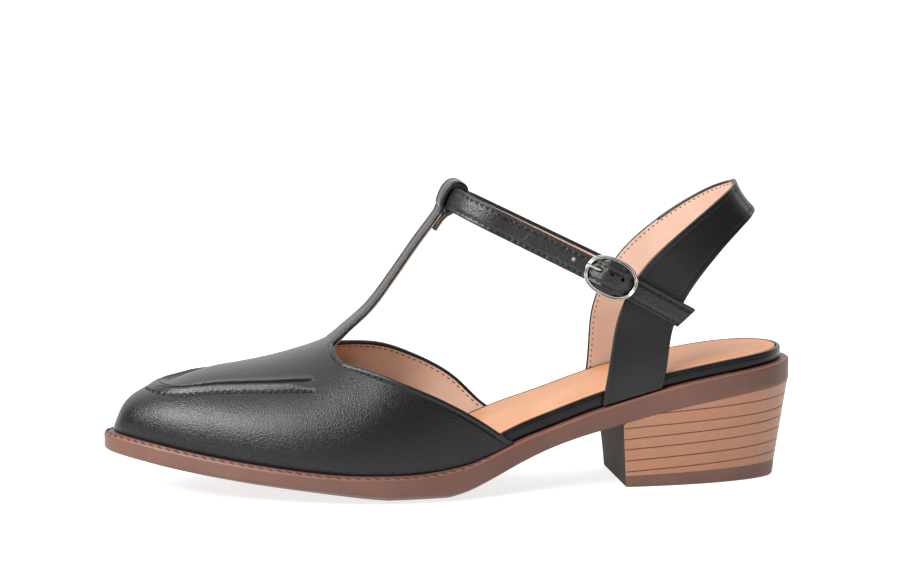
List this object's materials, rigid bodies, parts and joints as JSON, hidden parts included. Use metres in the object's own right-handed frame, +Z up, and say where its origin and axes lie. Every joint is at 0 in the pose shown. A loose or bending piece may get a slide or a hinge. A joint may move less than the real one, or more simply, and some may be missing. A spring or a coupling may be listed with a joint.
{
  "type": "block heel shoe",
  "caption": "Left T-strap slingback shoe in black leather with a closed almond toe, raised toe seam, buckled ankle strap, tan footbed and stacked block heel.",
  "frame": {"origin": "middle of the bounding box at floor level", "axes": "toe towards -X, heel towards +X, outer side of the foot with the buckle towards -Y, +Z up"},
  "size_m": [0.255, 0.0848, 0.1126],
  "materials": {
    "outsole": "moulded reddish brown rubber, satin",
    "heel_block": "stacked look with dark lines, satin",
    "top_lift": "moulded brown rubber, satin",
    "footbed": "glossy black wrapped edge",
    "sock": "smooth orange-tan lining leather",
    "upper": "black leather with a fine grain, soft gloss, pinkish tan lining",
    "sling": "black leather, soft gloss, pinkish tan lining",
    "ankle_strap": "black leather, wrinkled grain",
    "buckle_frame": "polished silver tone",
    "buckle_prong": "polished silver tone",
    "buckle_tab": "black leather"
  },
  "bodies": {
    "root": {"outsole": "outsole", "heel_block": "heel_block", "top_lift": "top_lift", "footbed": "footbed", "sock": "sock", "upper": "upper", "sling": "sling", "ankle_strap": "ankle_strap", "buckle_frame": "buckle_frame", "buckle_prong": "buckle_prong", "buckle_tab": "buckle_tab"}
  },
  "joints": []
}
